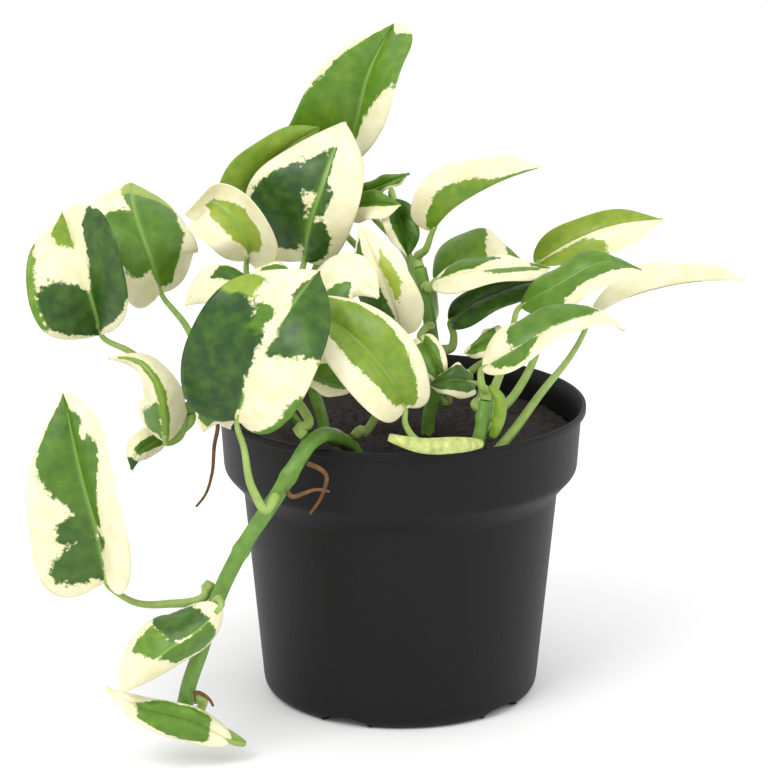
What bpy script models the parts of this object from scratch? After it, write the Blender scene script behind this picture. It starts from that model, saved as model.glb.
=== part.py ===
"""Variegated pothos in a plain black nursery pot.

The row frame: origin on the axis of the pot where it stands, +Z up, +Y away from the usual
viewpoint and +X to the viewer's right.  All figures below are millimetres.
"""
import bmesh
import bpy
import numpy as np

for old in list(bpy.data.objects):
    bpy.data.objects.remove(old, do_unlink=True)

MM = 0.001

# ---------------------------------------------------------------- sizes
POT_FOOT_R = 44.7
POT_SHOULDER_LOW_R = 51.1
POT_SHOULDER_LOW_Z = 68.4
POT_SHOULDER_HIGH_R = 57.3
POT_SHOULDER_HIGH_Z = 75.3
POT_COLLAR_R = 58.5
POT_LIP_UNDER_Z = 94.0
POT_LIP_R = 60.0
POT_HEIGHT = 96.7
POT_WALL = 1.2
POT_FLOOR = 1.5
POT_SEGMENTS = 56
FOOT_EDGE_ROUND = 3.0

NOTCHES = 5
NOTCH_FIRST_DEG = 246.0
NOTCH_WIDTH = 15.0
NOTCH_HEIGHT = 3.0
NOTCH_INNER_R = 34.0
DOME_WALL = 1.2
DRAIN_HOLE_R = 3.0
DRAIN_HOLE_AT_R = 39.0

SOIL_TOP = 87.0
SOIL_GAP = 0.3
SOCKET_CLEARANCE = 0.4
SOCKET_DEPTH = 9.0

BLADE_THICK = 0.9
STALK_R_STEM = 1.7
STALK_R_BLADE = 0.7
STALK_GAP = 0.7

# ---------------------------------------------------------------- the grown pieces
STEMS = {
    "trailing_vine": (2.7, [(-13, -30, 80), (-15, -34, 90), (-20, -45, 97.5), (-24, -52, 100.6),
                            (-28, -57.5, 99.6), (-33, -62, 93), (-38, -64, 85), (-48, -66, 70),
                            (-56, -67, 54), (-62, -69, 36), (-66, -70, 24), (-67, -70, 19)]),
    "left_stem": (1.8, [(-30, -13, 78), (-33, -14, 93), (-44, -16, 101), (-56, -20, 102.5),
                        (-65, -22, 101), (-70, -22, 100.5)]),
    "centre_stem": (2.2, [(-24, -9, 78), (-25, -8, 91), (-29, -6, 105), (-32, -4, 120), (-35, -2, 132)]),
    "right_stem": (2.4, [(9, -3, 78), (9, -3, 92), (12, -3, 104), (10, -2, 118), (8, 0, 131), (6, 3, 140)]),
    "front_stem": (2.4, [(22, -47, 78), (23, -47, 93), (25, -46, 102), (26, -44, 109)]),
}

# Aerial roots: the stem each one leaves, then its run.
ROOTS = {
    "root_left": ("left_stem", [(-58, -25, 96), (-59, -27, 90), (-60, -28, 80), (-62, -29, 74),
                                (-65, -29, 70)]),
    "root_vine_upper": ("trailing_vine", [(-33, -69, 86), (-30, -69, 87), (-26, -68, 88),
                                          (-22, -67, 87)]),
    "root_vine_rim": ("trailing_vine", [(-23, -66, 92), (-24, -65, 86), (-28, -64, 79)]),
    "root_vine_end": ("trailing_vine", [(-63, -73, 24), (-60, -74, 23), (-59, -74, 22), (-58, -74, 20)]),
}


def leaf(rib, left, right, stem, joins, stalk, **shape):
    """rib: points along the midrib, base to tip.  left, right: from the midrib to each margin at
    the widest place.  joins: where the stalk leaves its stem.  stalk: the stalk's own bends."""
    return dict(rib=rib, left=left, right=right, stem=stem, joins=joins, stalk=stalk, **shape)


LEAVES = {
    "leaf_vine_left": leaf([(-91, -62, 56), (-93, -66, 74), (-97, -67, 91), (-103, -58, 116)],
                           (-21, 0, -4), (11, -12, 2), "trailing_vine", (-55, -68, 54),
                           [(-60, -64, 54), (-73, -62, 49), (-83, -60, 49), (-88, -60, 52)],
                           lobe=(0.2, 0.14), lform=(0.3, 0.5, 1.9), rform=(0.55, 0.6, 4.0)),
    "leaf_left_low": leaf([(-95, -16, 123), (-97, -22, 136), (-101, -20, 148), (-107, -8, 161)],
                          (-20, -7, 2), (13, -13, 10), "left_stem", (-66, -22, 101),
                          [(-68, -22, 105), (-76, -20, 111), (-86, -18, 118)],
                          lobe=(0.08, 0.0), lform=(0.32, 0.5, 1.5), rform=(0.52, 0.9, 1.7)),
    "leaf_left_high": leaf([(-77, 2, 132), (-80, -3, 145), (-84, 2, 155), (-88, 26, 163)],
                           (-14, -2, 0), (16, 10, -4), "left_stem", (-57, -20, 102),
                           [(-59, -16, 105), (-63, -10, 112), (-69, -4, 123)],
                           lobe=(0.22, 0.1), lform=(0.34, 0.5, 3.6), rform=(0.34, 0.6, 6.5)),
    "leaf_left_hanging": leaf([(-74, -34, 93), (-74, -38, 103), (-76, -38, 113), (-82, -34, 119),
                               (-92, -30, 119)],
                              (-8, 10, -4), (7, 10, -4), "left_stem", (-69, -22, 101),
                              [(-69, -25, 96), (-70, -29, 93)],
                              lobe=(0.02, 0.02), lform=(0.3, 0.35, 1.6), rform=(0.3, 0.35, 1.5)),
    "leaf_left_curled": leaf([(-74, -20, 91), (-79, -25, 90), (-83, -29, 88), (-85, -32, 83)],
                             (0, 1, -5), (-3, 3, 4), "left_stem", (-67, -20, 100),
                             [(-68, -20, 94), (-70, -19, 92)], lobe=(0, 0)),
    "leaf_top": leaf([(-18, 30, 168), (-14, 24, 184), (-10, 24, 200), (-2, 34, 214)],
                     (-23, 0, -3), (11, -14, 6), "centre_stem", (-34, -3, 127),
                     [(-31, 6, 129), (-24, 18, 146), (-20, 28, 159)],
                     lobe=(0.14, 0.04), lform=(0.36, 0.5, 1.6), rform=(0.5, 0.9, 2.2)),
    "leaf_back_left": leaf([(-53, 18, 157), (-45, 14, 169), (-36, 13, 178), (-26, 18, 183)],
                           (-8, -2, 5), (10, 6, -8), "centre_stem", (-33, -3, 123),
                           [(-37, 4, 124), (-46, 14, 137), (-52, 19, 151)]),
    "leaf_centre_cream": leaf([(-31, 4, 142), (-29, -2, 155), (-24, -1, 170), (-18, 12, 186)],
                              (-23, 10, 1), (15, -2, 3), "centre_stem", (-35, -2, 132),
                              [(-33, 1, 137)], lform=(0.38, 0.5, 3.4), rform=(0.36, 0.5, 1.7), cap=True),
    "leaf_cupped": leaf([(-49, -8, 145), (-49, -13, 154), (-54, -12, 161), (-61, -8, 164),
                         (-68, -12, 161)],
                        (9, -5, 3), (-14, -3, -2), "centre_stem", (-32, -4, 119),
                        [(-37, -8, 122), (-46, -8, 134), (-49, -7, 140)],
                        lobe=(0.1, 0.1), lform=(0.34, 0.5, 2.4), rform=(0.36, 0.6, 2.4)),
    "leaf_front_left": leaf([(-50, -62, 108), (-45, -68, 124), (-37, -66, 139), (-25, -50, 152)],
                            (-21, 4, 8), (17, -6, -3), "trailing_vine", (-38, -65, 84),
                            [(-41, -73, 83), (-45, -72, 89), (-48, -66, 101)],
                            lobe=(0.16, 0.14), lform=(0.42, 0.6, 2.6), rform=(0.36, 0.55, 2.0)),
    "leaf_front_centre": leaf([(1, -52, 109), (-6, -56, 123), (-17, -50, 133), (-34, -36, 139)],
                              (-8, -9, -7), (10, 3, 7), "front_stem", (23, -47, 95),
                              [(18, -49, 96), (11, -52, 97), (4, -54, 100), (1, -53, 105)],
                              lobe=(0.06, 0.14), lform=(0.4, 0.6, 2.0), rform=(0.36, 0.5, 2.2)),
    "leaf_speckled": leaf([(0, -22, 125), (-3, -26, 137), (-8, -22, 148), (-13, -12, 158)],
                          (-10, 6, -3), (9, 0, 2), "right_stem", (11, -3, 105),
                          [(9, -9, 109), (3, -17, 118)],
                          lobe=(0.1, 0.06), lform=(0.36, 0.5, 2.0), rform=(0.36, 0.5, 1.8)),
    "leaf_right_high": leaf([(10, -2, 153), (15, -6, 160), (29, -6, 169), (45, 0, 174)],
                            (-7, -1, 11), (-5, 19, 4), "right_stem", (6, 3, 140), [(8, 0, 147)],
                            lobe=(0.1, 0.1), lform=(0.34, 0.5, 1.7), rform=(0.36, 0.5, 2.0), cap=True),
    "leaf_centre_dark": leaf([(-2, 10, 161), (0, 6, 154), (2, 2, 144)],
                             (6, -4, 0), (-6, -6, 1), "right_stem", (7, 2, 136),
                             [(4, 8, 138), (0, 17, 148), (-3, 19, 158), (-3, 15, 163)], lobe=(0.05, 0.05)),
    "leaf_centre_small": leaf([(-18, 10, 158), (-9, 4, 161), (0, 2, 161)],
                              (0, 3, 4), (1, -7, -4), "right_stem", (8, 0, 128),
                              [(4, 8, 127), (-10, 20, 139), (-20, 18, 151)], lobe=(0.05, 0.05)),
    "leaf_centre_narrow": leaf([(-13, 22, 160), (-5, 19, 164), (3, 17, 168)],
                               (-2, 3, 2), (2, -3, -1), "right_stem", (7, 1, 132),
                               [(7, 10, 132), (0, 26, 142), (-11, 27, 154)], lobe=(0.05, 0.05)),
    "leaf_right_domed": leaf([(11, 14, 133), (20, 10, 140), (30, 10, 142), (39, 14, 140)],
                             (0, 10, 8), (2, -4, -5), "right_stem", (9, -1, 124),
                             [(11, 8, 124), (11, 14, 128)], lobe=(0.08, 0.08), lform=(0.4, 0.5, 2.6)),
    "leaf_right_flat": leaf([(11, -6, 138), (22, -10, 142), (35, -8, 143), (48, 3, 140)],
                            (0, 10, 2), (1, -10, -3), "right_stem", (7, 1, 134),
                            [(9, -6, 135)], lobe=(0.05, 0.05)),
    "leaf_right_dark": leaf([(16, 0, 123), (22, -4, 130), (33, -4, 135), (45, 2, 136)],
                            (-2, 4, 3), (4, -9, -3), "right_stem", (11, -2, 114),
                            [(17, -1, 119)], lobe=(0.05, 0.05)),
    "leaf_right_outer": leaf([(44, 16, 138), (53, 12, 145), (65, 10, 151), (85, 16, 153)],
                             (6, -9, -4), (-3, 1, 6), "front_stem", (24, -47, 101),
                             [(27, -37, 100), (36, -22, 105), (44, -4, 116), (45, 12, 128)],
                             lobe=(0.0, 0.04), lform=(0.5, 0.8, 1.4), rform=(0.36, 0.55, 2.0)),
    "leaf_right_green": leaf([(38, -15, 132), (49, -20, 140), (62, -20, 147), (76, -13, 143)],
                             (-2, 8, 3), (4, -9, -5), "front_stem", (25, -46, 105),
                             [(28, -40, 108), (32, -30, 117), (35, -22, 126)],
                             lobe=(0.02, 0.02), lform=(0.36, 0.6, 2.0), rform=(0.4, 0.8, 1.9)),
    "leaf_right_long": leaf([(62, 10, 122), (71, 5, 129), (87, 5, 134), (112, 12, 134)],
                            (-1, -1, 8), (2, 11, 2), "front_stem", (23, -47, 91),
                            [(29, -43, 92), (44, -22, 105), (59, 6, 117)],
                            lobe=(0.0, 0.0), lform=(0.36, 0.7, 2.2), rform=(0.36, 0.7, 2.2)),
    "leaf_front_right": leaf([(25, -46, 120), (35, -52, 128), (48, -50, 135), (60, -44, 136),
                              (69, -42, 131)],
                             (-4, 10, 4), (2, -10, -2), "front_stem", (26, -44, 109),
                             [(25, -46, 114)],
                             lobe=(0.03, 0.0), lform=(0.3, 0.5, 1.9), rform=(0.36, 0.8, 1.7), cap=True),
    "leaf_rim_small": leaf([(22, -30, 111), (17, -34, 113), (9, -32, 111)],
                           (0, -5, -4), (0, 5, 4), "front_stem", (26, -45, 107),
                           [(23, -38, 106), (25, -30, 107), (25, -27, 109)]),
    "leaf_white_arch": leaf([(-31, -29, 133), (-23, -35, 144), (-14, -38, 147), (-7, -41, 141)],
                            (-2, 10, 4), (4, -7, -7), "centre_stem", (-31, -5, 114),
                            [(-30, -12, 118), (-31, -23, 126)], lobe=(0.0, 0.0), lform=(0.36, 0.5, 2.6)),
    "leaf_left_back": leaf([(-43, -28, 137), (-51, -32, 143), (-60, -34, 144), (-67, -34, 137)],
                           (-1, -7, -7), (-3, 8, 4), "trailing_vine", (-27, -57, 100),
                           [(-29, -54, 104), (-34, -46, 113), (-40, -34, 128)]),
    "leaf_mottled": leaf([(-32, -18, 139), (-39, -22, 144), (-47, -24, 145)],
                         (-2, -5, -3), (-1, 5, 3), "centre_stem", (-34, -3, 127),
                         [(-32, -10, 130), (-32, -16, 135)], lobe=(0, 0)),
    "leaf_crumpled": leaf([(-50, -44, 108), (-55, -48, 110), (-60, -50, 107), (-61, -50, 101)],
                          (3, -4, -7), (-3, 6, 3), "left_stem", (-46, -17, 101),
                          [(-46, -26, 101), (-48, -38, 104)], lobe=(0, 0)),
    "leaf_under_centre": leaf([(-15, -38, 112), (-24, -42, 116), (-33, -42, 118)],
                              (-2, -6, -3), (0, 6, 6), "trailing_vine", (-17, -38, 93),
                              [(-12, -35, 96), (-8, -34, 102), (-11, -35, 108)], lobe=(0, 0)),
    "leaf_behind_front": leaf([(32, -8, 122), (26, -12, 119), (20, -12, 116)],
                              (2, -4, -4), (-1, 4, 2), "right_stem", (11, -3, 98),
                              [(15, -1, 99), (23, -1, 107), (32, -3, 115)]),
    "leaf_pale_small": leaf([(6, -21, 123), (9, -27, 119), (13, -29, 110)],
                            (5, -1, 1), (-5, -1, -3), "right_stem", (9, -1, 122),
                            [(9, -9, 124), (7, -15, 124)]),
    "leaf_vine_folded": leaf([(-55, -78, 54), (-61, -81, 48), (-71, -84, 42), (-85, -86, 29)],
                             (3, 6, -7), (-10, 10, 3), "trailing_vine", (-56, -67, 53),
                             [(-56, -74, 55)],
                             lobe=(0.0, 0.1), lform=(0.36, 0.6, 3.0), rform=(0.36, 0.6, 3.0)),
    "leaf_vine_tip": leaf([(-53, -73, 8), (-64, -78, 16), (-78, -80, 21), (-91, -74, 26)],
                          (-2, -1, -6), (1, 3, 4), "trailing_vine", (-67, -70, 21),
                          [(-63, -67, 13), (-54, -66, 8), (-49, -70, 6)],
                          lobe=(0.02, 0.02), lform=(0.4, 0.6, 1.9), rform=(0.36, 0.5, 2.2)),
}

BLADE_ROWS = [0.0, 0.05, 0.12, 0.22, 0.34, 0.48, 0.62, 0.76, 0.89, 0.985]
BLADE_COLUMNS = [-1.0, -0.55, 0.0, 0.55, 1.0]
WIDEST = 0.38
LEAST_HALF_WIDTH = 0.6
PLAIN_FORM = (0.36, 0.5, 2.0)
PLAIN_LOBE = (0.16, 0.16)
CROWN = 1.5
WAVE = 1.0

# ---------------------------------------------------------------- colours
COLOURS = {
    "pot": ((0.012, 0.012, 0.013), 0.42),
    "soil": ((0.010, 0.006, 0.004), 0.95),
    "stem": ((0.13, 0.27, 0.035), 0.5),
    "root": ((0.14, 0.065, 0.02), 0.85),
    "leaf": ((0.42, 0.52, 0.16), 0.4),
    "sheath": ((0.50, 0.46, 0.22), 0.7),
}

part = bpy.data.collections.new("potted_pothos")
bpy.context.scene.collection.children.link(part)
cutters = bpy.data.collections.new("cutters")
bpy.context.scene.collection.children.link(cutters)


# ---------------------------------------------------------------- curves and frames
def unit(v):
    return v / np.maximum(np.linalg.norm(v, axis=-1, keepdims=True), 1e-9)


def smooth(points, steps):
    """Positions and directions on a smooth curve through the points; straight beyond its ends."""
    p = np.asarray(points, float)
    knots = np.r_[0, np.cumsum(np.linalg.norm(np.diff(p, axis=0), axis=1))]
    knots /= knots[-1]
    n = len(p)
    chord = np.diff(p, axis=0) / np.diff(knots)[:, None]
    slope = np.zeros_like(p)
    if n == 2:
        slope[:] = chord[0]
    else:
        for i in range(1, n - 1):
            before = knots[i] - knots[i - 1]
            after = knots[i + 1] - knots[i]
            slope[i] = (chord[i - 1] * after + chord[i] * before) / (before + after)
        slope[0] = 1.5 * chord[0] - 0.5 * slope[1]
        slope[-1] = 1.5 * chord[-1] - 0.5 * slope[-2]
    s = np.atleast_1d(np.asarray(steps, float))
    inside = np.clip(s, 0, 1)
    i = np.clip(np.searchsorted(knots, inside, side="right") - 1, 0, n - 2)
    h = (knots[i + 1] - knots[i])[:, None]
    u = (inside - knots[i])[:, None] / h
    place = ((2 * u**3 - 3 * u**2 + 1) * p[i] + (u**3 - 2 * u**2 + u) * h * slope[i]
             + (-2 * u**3 + 3 * u**2) * p[i + 1] + (u**3 - u**2) * h * slope[i + 1])
    way = ((6 * u**2 - 6 * u) * p[i] + (3 * u**2 - 4 * u + 1) * h * slope[i]
           + (-6 * u**2 + 6 * u) * p[i + 1] + (3 * u**2 - 2 * u) * h * slope[i + 1]) / h
    return place + (s - inside)[:, None] * way, way


def turned(a, b, v):
    """v carried by the turn that takes direction a to direction b."""
    c = np.cross(a, b)
    d = np.sum(a * b, -1, keepdims=True)
    return v * d + np.cross(c, v) + c * np.sum(c * v, -1, keepdims=True) / np.maximum(1 + d, 0.15)


def half_width(u, form):
    """How wide a half blade is at u, as a share of its widest: form is (where, heel, tip)."""
    widest, heel, tip = form
    u = np.clip(u, 0, 1)
    near_base = (1 - (1 - np.minimum(u / widest, 1)) ** 2) ** heel
    near_tip = 1 - np.clip((u - widest) / (1 - widest), 0, 1) ** tip
    return np.where(u < widest, near_base, near_tip)


def blade_grid(spec, rows, columns):
    """Middle surface of a blade and its normals: rows base to tip, columns left to right."""
    u, t = np.meshgrid(rows, columns, indexing="ij")
    left = t < 0
    lobe = spec.get("lobe", PLAIN_LOBE)
    lobe = np.where(left, lobe[0], lobe[1])
    wide = np.where(left, half_width(u, spec.get("lform", PLAIN_FORM)),
                    half_width(u, spec.get("rform", PLAIN_FORM)))
    reach = np.where(left, np.linalg.norm(spec["left"]), np.linalg.norm(spec["right"]))
    wide = np.maximum(wide, LEAST_HALF_WIDTH / reach).ravel()[:, None]
    along = (u - lobe * 4.5 * u**0.6 * (1 - u) ** 4 * np.abs(t) ** 1.4).ravel()
    place, way = smooth(spec["rib"], along)
    way = unit(way)
    at_widest = unit(smooth(spec["rib"], [WIDEST])[1])[0]
    first = np.broadcast_to(at_widest, way.shape)
    to_left = turned(first, way, np.broadcast_to(np.array(spec["left"], float), way.shape))
    to_right = turned(first, way, np.broadcast_to(np.array(spec["right"], float), way.shape))
    t = t.ravel()[:, None]
    side = np.where(t < 0, to_left, to_right)
    up = unit(np.cross(to_right - to_left, way))
    a = np.abs(t)
    lift = CROWN * 0.9 * 4 * a * (1 - a)
    ripple = WAVE * a**2 * np.sin(4 * np.pi * u.ravel()[:, None] + np.where(t < 0, 0.0, 2.0))
    points = (place + side * a * wide + up * wide * (lift + ripple)).reshape(u.shape + (3,))
    normals = unit(np.cross(np.gradient(points, axis=1), np.gradient(points, axis=0)))
    return points, normals


# ---------------------------------------------------------------- meshes
def material(name):
    colour, rough = COLOURS[name.split("_")[0]] if name.split("_")[0] in COLOURS else COLOURS["leaf"]
    mat = bpy.data.materials.new(name)
    mat.use_nodes = True
    shader = mat.node_tree.nodes["Principled BSDF"]
    shader.inputs["Base Color"].default_value = (*colour, 1.0)
    shader.inputs["Roughness"].default_value = rough
    return mat


def finish(name, mesh, look):
    """One closed body, in metres, as a named object of the part."""
    bm = bmesh.new()
    bm.from_mesh(mesh)
    bmesh.ops.remove_doubles(bm, verts=bm.verts, dist=0.000001)
    bmesh.ops.recalc_face_normals(bm, faces=bm.faces)
    bm.to_mesh(mesh)
    bm.free()
    obj = bpy.data.objects.new(name, mesh)
    part.objects.link(obj)
    mat = material(look + "_" + name)
    mesh.materials.clear()
    mesh.materials.append(mat)
    return obj


def mesh_from(name, points, faces):
    mesh = bpy.data.meshes.new(name)
    mesh.from_pydata([tuple(p * MM) for p in points], [], faces)
    bm = bmesh.new()
    bm.from_mesh(mesh)
    bmesh.ops.recalc_face_normals(bm, faces=bm.faces)
    bm.to_mesh(mesh)
    bm.free()
    return mesh


def leaf_mesh(name, spec, path, radii):
    """Stalk and blade as one closed skin: the stalk's rings run into the base of the blade."""
    points, normals = blade_grid(spec, BLADE_ROWS, BLADE_COLUMNS)
    rows, columns = points.shape[:2]
    top = points + normals * BLADE_THICK / 2
    bottom = points - normals * BLADE_THICK / 2
    way = unit(np.gradient(path, axis=0))
    across = unit(top[1, -1] - top[1, 0])
    rings = []
    for where, along, radius in zip(path[::-1], way[::-1], radii[::-1]):
        across = unit(across - along * (across @ along))
        upward = np.cross(across, along)
        if not rings and upward @ normals[1, columns // 2] < 0:
            upward = -upward
            flip = -1
        elif not rings:
            flip = 1
        upward = np.cross(across, along) * flip
        turns = np.radians([162, 126, 90, 54, 18, -18, -54, -90, -126, -162])
        rings.append([where + radius * (np.cos(k) * across + np.sin(k) * upward) for k in turns])
    rings.reverse()
    for r in range(rows):
        rings.append(list(top[r]) + list(bottom[r][::-1]))
    around = 2 * columns
    faces = []
    for r in range(len(rings) - 1):
        for k in range(around):
            m = (k + 1) % around
            faces.append((r * around + k, r * around + m, (r + 1) * around + m, (r + 1) * around + k))
    faces.append(tuple(range(around)))
    last = (len(rings) - 1) * around
    for c in range(columns - 1):
        faces.append((last + c, last + c + 1, last + around - 2 - c, last + around - 1 - c))
    mesh = mesh_from(name, np.array([p for ring in rings for p in ring]), faces)
    bm = bmesh.new()
    bm.from_mesh(mesh)
    bmesh.ops.triangulate(bm, faces=bm.faces)
    bm.to_mesh(mesh)
    bm.free()
    return mesh


def tube_mesh(name, path, radii):
    """A round, capped, tapering stalk along a path."""
    curve = bpy.data.curves.new(name, "CURVE")
    curve.dimensions = "3D"
    curve.bevel_depth = MM
    curve.bevel_resolution = 2
    curve.use_fill_caps = True
    spline = curve.splines.new("POLY")
    spline.points.add(len(path) - 1)
    for point, where, radius in zip(spline.points, path, radii):
        point.co = (*(where * MM), 1.0)
        point.radius = radius
    obj = bpy.data.objects.new(name, curve)
    bpy.context.scene.collection.objects.link(obj)
    mesh = bpy.data.meshes.new_from_object(obj.evaluated_get(bpy.context.evaluated_depsgraph_get()))
    bpy.data.objects.remove(obj, do_unlink=True)
    bm = bmesh.new()
    bm.from_mesh(mesh)
    bmesh.ops.remove_doubles(bm, verts=bm.verts, dist=0.00001)
    bmesh.ops.recalc_face_normals(bm, faces=bm.faces)
    bm.to_mesh(mesh)
    bm.free()
    return mesh


def combine(name, first, second, operation, solver="EXACT"):
    """The Boolean of two closed meshes, as a new mesh."""
    a = bpy.data.objects.new(name + "_a", first)
    b = bpy.data.objects.new(name + "_b", second)
    for obj in (a, b):
        bpy.context.scene.collection.objects.link(obj)
    mod = a.modifiers.new("combine", "BOOLEAN")
    mod.object = b
    mod.operation = operation
    mod.solver = solver
    mesh = bpy.data.meshes.new_from_object(a.evaluated_get(bpy.context.evaluated_depsgraph_get()))
    for obj in (a, b):
        bpy.data.objects.remove(obj, do_unlink=True)
    return mesh


def lathe(name, profile, segments):
    """A turned body from (radius, height) pairs, on the pot's axis."""
    points = []
    faces = []
    rings = []
    for radius, height in profile:
        if radius == 0:
            rings.append([len(points)])
            points.append((0.0, 0.0, height))
            continue
        ring = []
        for k in range(segments):
            turn = 2 * np.pi * k / segments
            ring.append(len(points))
            points.append((radius * np.cos(turn), radius * np.sin(turn), height))
        rings.append(ring)
    for lower, upper in zip(rings, rings[1:]):
        for k in range(segments):
            n = (k + 1) % segments
            if len(lower) == 1:
                faces.append((lower[0], upper[k], upper[n]))
            elif len(upper) == 1:
                faces.append((lower[k], lower[n], upper[0]))
            else:
                faces.append((lower[k], lower[n], upper[n], upper[k]))
    return mesh_from(name, np.array(points, float), faces)


# ---------------------------------------------------------------- pot
def build_pot():
    foot = []
    for k in range(5):
        a = np.radians(22.5 * k)
        foot.append((POT_FOOT_R - FOOT_EDGE_ROUND * (1 - np.sin(a)) + 0.1 * k / 4,
                     FOOT_EDGE_ROUND * (1 - np.cos(a))))
    profile = [(0, 0)] + foot + [
        (POT_SHOULDER_LOW_R - 0.3, POT_SHOULDER_LOW_Z - 1.5), (POT_SHOULDER_LOW_R + 0.3, POT_SHOULDER_LOW_Z),
        (POT_SHOULDER_HIGH_R - 0.8, POT_SHOULDER_HIGH_Z - 0.8), (POT_SHOULDER_HIGH_R, POT_SHOULDER_HIGH_Z + 0.7),
        (POT_COLLAR_R, POT_LIP_UNDER_Z), (POT_LIP_R, POT_LIP_UNDER_Z + 0.3), (POT_LIP_R, POT_HEIGHT - 0.5),
        (POT_LIP_R - 0.4, POT_HEIGHT), (POT_LIP_R - 1.0, POT_HEIGHT), (POT_COLLAR_R - POT_WALL, 93),
        (POT_SHOULDER_HIGH_R - POT_WALL, POT_SHOULDER_HIGH_Z + 1.1), (POT_SHOULDER_LOW_R - POT_WALL, 69),
        (POT_FOOT_R - POT_WALL + 0.5, 3.6), (POT_FOOT_R - POT_WALL - 1.6, POT_FLOOR), (0, POT_FLOOR)]
    mesh = lathe("pot", profile, POT_SEGMENTS)
    # Round-topped drain notches in the foot, each under its own raised dome with a hole in it.
    for k in range(NOTCHES):
        turn = np.radians(NOTCH_FIRST_DEG + 360 / NOTCHES * k)
        out = np.array([np.cos(turn), np.sin(turn), 0])
        dome = block_arch(out, NOTCH_INNER_R - DOME_WALL, 43.0, NOTCH_WIDTH / 2 + DOME_WALL, NOTCH_HEIGHT + DOME_WALL, 0.5)
        mesh = combine("pot", mesh, dome, "UNION")
    for k in range(NOTCHES):
        turn = np.radians(NOTCH_FIRST_DEG + 360 / NOTCHES * k)
        out = np.array([np.cos(turn), np.sin(turn), 0])
        notch = block_arch(out, NOTCH_INNER_R, 50.0, NOTCH_WIDTH / 2, NOTCH_HEIGHT, -2.0)
        mesh = combine("pot", mesh, notch, "DIFFERENCE")
        centre = out * DRAIN_HOLE_AT_R
        hole = tube_mesh("hole", np.array([centre + (0, 0, 1.0), centre + (0, 0, 8.0)]), [DRAIN_HOLE_R] * 2)
        mesh = combine("pot", mesh, hole, "DIFFERENCE")
    return finish("pot", mesh, "pot")


def block_arch(out, near, far, half, height, floor):
    """A radial block with an arched top, from one radius to another."""
    side = np.array([-out[1], out[0], 0])
    section = [(-half, floor)]
    for k in range(7):
        a = np.pi * (1 - k / 6)
        section.append((half * np.cos(a), height * (0.35 + 0.65 * np.sin(a))))
    section.append((half, floor))
    points = []
    for radius in (near, far):
        for across, up in section:
            points.append(out * radius + side * across + np.array([0, 0, up]))
    n = len(section)
    faces = [tuple(range(n)), tuple(range(2 * n - 1, n - 1, -1))]
    for k in range(n):
        m = (k + 1) % n
        faces.append((k, k + n, m + n, m))
    return mesh_from("arch", np.array(points), faces)


# ---------------------------------------------------------------- soil
def build_soil():
    profile = [(0, NOTCH_HEIGHT + DOME_WALL + SOIL_GAP), (POT_FOOT_R - POT_WALL - 0.1, NOTCH_HEIGHT + DOME_WALL + SOIL_GAP),
               (POT_SHOULDER_LOW_R - POT_WALL - 0.5, 68.7), (POT_SHOULDER_HIGH_R - POT_WALL - 0.5, 76.6),
               (POT_SHOULDER_HIGH_R - POT_WALL, 86), (30, SOIL_TOP - 0.3), (0, SOIL_TOP)]
    mesh = lathe("soil", profile, 48)
    for radius, path in STEMS.values():
        places, ways = smooth(path, np.linspace(0, 0.3, 12))
        low = places[0] - unit(ways[0]) * 1.2
        run = np.vstack([[low], places])
        socket = tube_mesh("socket", run, [radius + SOCKET_CLEARANCE] * len(run))
        mesh = combine("soil", mesh, socket, "DIFFERENCE")
    return finish("soil", mesh, "soil")


# ---------------------------------------------------------------- stems, roots, leaves
def stem_line(name, count=80):
    radius, path = STEMS[name]
    places, ways = smooth(path, np.linspace(0, 1, count))
    return radius, places, unit(ways)


def leave_stem(name, joins, toward):
    """Where a stalk starts, just off the surface of its stem, and the way it sets out."""
    radius, places, ways = stem_line(name)
    i = int(np.argmin(np.linalg.norm(places - np.array(joins, float), axis=1)))
    away = np.array(toward, float) - places[i]
    away = unit(away - ways[i] * (away @ ways[i]))
    return places[i] + away * (radius + STALK_GAP), away


def build_stems():
    for name in STEMS:
        radius, places, _ = stem_line(name, 26)
        finish(name, tube_mesh(name, places, [radius] * len(places)), "stem")


def build_roots():
    for name, (stem, run) in ROOTS.items():
        start, _ = leave_stem(stem, run[0], run[0])
        places, _ = smooth([tuple(start)] + run, np.linspace(0, 1, 14))
        finish(name, tube_mesh(name, places, np.linspace(0.8, 0.4, 14)), "root")


def build_leaf(name, spec):
    toward = spec["stalk"][0] if spec["stalk"] else spec["rib"][0]
    start, away = leave_stem(spec["stem"], spec["joins"], toward)
    if spec.get("cap"):
        _, places, ways = stem_line(spec["stem"])
        away = ways[-1]
        start = places[-1] + away * STALK_GAP
    base = np.array(spec["rib"][0], float)
    _, way = smooth(spec["rib"], [0.0])
    before = base - unit(way)[0] * 1.6
    bends = [start, start + away * 2.4] + [np.array(p, float) for p in spec["stalk"]] + [before]
    path, _ = smooth(bends, np.linspace(0, 1, 3 + 2 * len(bends)))
    radii = np.linspace(STALK_R_STEM, STALK_R_BLADE, len(path))
    finish(name, leaf_mesh(name, spec, path, radii), "leaf")


# ---------------------------------------------------------------- sheath and rolled leaf
def build_sheath():
    """A dried papery sheath lying over the front of the rim."""
    path, _ = smooth([(-4, -66, 104), (6, -66.5, 101.5), (17, -62.5, 100.5), (24, -54.5, 98.5)], np.linspace(0, 1, 12))
    radii = 0.5 + 2.1 * np.sin(np.pi * np.linspace(0.06, 0.9, 12)) ** 0.7
    finish("sheath_front", tube_mesh("sheath_front", path, radii), "sheath")


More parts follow.
